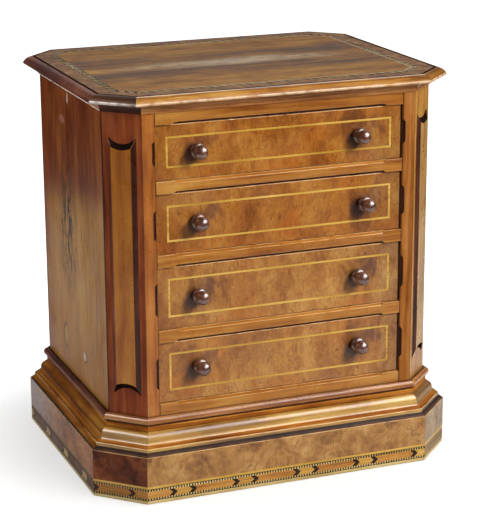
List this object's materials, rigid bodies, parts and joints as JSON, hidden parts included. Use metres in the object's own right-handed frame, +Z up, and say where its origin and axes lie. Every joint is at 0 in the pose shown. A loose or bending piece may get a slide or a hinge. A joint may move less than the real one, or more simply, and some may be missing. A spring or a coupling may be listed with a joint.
{
  "type": "table chest",
  "caption": "Tabletop chest of drawers with canted corners, a moulded inlaid top, turned knobs and a moulded plinth with a parquetry band.",
  "frame": {"origin": "on the floor, under the middle of the chest", "axes": "+Z up, drawers open towards -Y, +X to the right as seen from the front"},
  "size_m": [0.392, 0.318, 0.4081],
  "materials": {
    "edge_walnut": "old wax polish, satin",
    "burr_walnut": "burr walnut veneer, french polished",
    "rope_inlay": "alternating pale and dark wood, polished flush",
    "figured_walnut": "streaky walnut veneer, faded and polished",
    "dark_walnut": "red-brown walnut, glossy polish",
    "side_walnut": "walnut board with upright grain, satin polish",
    "frame_walnut": "walnut, polished",
    "strip_walnut": "walnut with ebonised bevels",
    "moulding_walnut": "golden walnut, glossy polish",
    "ebonised": "ebonised wood, satin",
    "parquetry": "small pieces of walnut, boxwood and ebonised wood, flush",
    "boxwood": "boxwood line, polished",
    "rosewood": "turned rosewood, high polish",
    "deal": "bare deal, planed",
    "lining": "bare cedar lining, planed"
  },
  "bodies": {
    "carcase": {"top_board": "deal", "top_edge": "edge_walnut", "top_crossband": "burr_walnut", "top_rope_band": "rope_inlay", "top_centre_panel": "figured_walnut", "top_cove": "dark_walnut", "case_side_left": "side_walnut", "case_side_right": "side_walnut", "case_back": "deal", "case_bottom": "deal", "front_post_left": "frame_walnut", "front_post_right": "frame_walnut", "rear_posts": "frame_walnut", "corner_strip_left": "strip_walnut", "corner_strip_right": "strip_walnut", "top_rail": "frame_walnut", "drawer_rail_1": "frame_walnut", "drawer_rail_2": "frame_walnut", "drawer_rail_3": "frame_walnut", "bottom_rail": "frame_walnut", "drawer_runners": "deal", "drawer_guides": "deal", "top_kickers": "deal", "drawer_stops": "deal", "base_bead": "dark_walnut", "base_moulding": "moulding_walnut", "ebony_fillet": "ebonised", "plinth_front": "burr_walnut", "plinth_back": "burr_walnut", "plinth_left": "burr_walnut", "plinth_right": "burr_walnut", "plinth_corners": "burr_walnut", "plinth_parquetry": "parquetry", "plinth_boxwood_line": "boxwood", "plinth_foot_edge": "boxwood", "plinth_glue_blocks": "deal"},
    "drawer_1": {"drawer_1_front": "burr_walnut", "drawer_1_stringing": "boxwood", "drawer_1_sides": "lining", "drawer_1_back": "lining", "drawer_1_bottom": "lining", "drawer_1_knobs": "rosewood"},
    "drawer_2": {"drawer_2_front": "burr_walnut", "drawer_2_stringing": "boxwood", "drawer_2_sides": "lining", "drawer_2_back": "lining", "drawer_2_bottom": "lining", "drawer_2_knobs": "rosewood"},
    "drawer_3": {"drawer_3_front": "burr_walnut", "drawer_3_stringing": "boxwood", "drawer_3_sides": "lining", "drawer_3_back": "lining", "drawer_3_bottom": "lining", "drawer_3_knobs": "rosewood"},
    "drawer_4": {"drawer_4_front": "burr_walnut", "drawer_4_stringing": "boxwood", "drawer_4_sides": "lining", "drawer_4_back": "lining", "drawer_4_bottom": "lining", "drawer_4_knobs": "rosewood"}
  },
  "joints": [
    {"name": "drawer_1_slide", "type": "slide", "parent": "carcase", "child": "drawer_1", "axis": [0, -1, 0], "range_m": [0, 0.18]},
    {"name": "drawer_2_slide", "type": "slide", "parent": "carcase", "child": "drawer_2", "axis": [0, -1, 0], "range_m": [0, 0.18]},
    {"name": "drawer_3_slide", "type": "slide", "parent": "carcase", "child": "drawer_3", "axis": [0, -1, 0], "range_m": [0, 0.18]},
    {"name": "drawer_4_slide", "type": "slide", "parent": "carcase", "child": "drawer_4", "axis": [0, -1, 0], "range_m": [0, 0.18]}
  ]
}
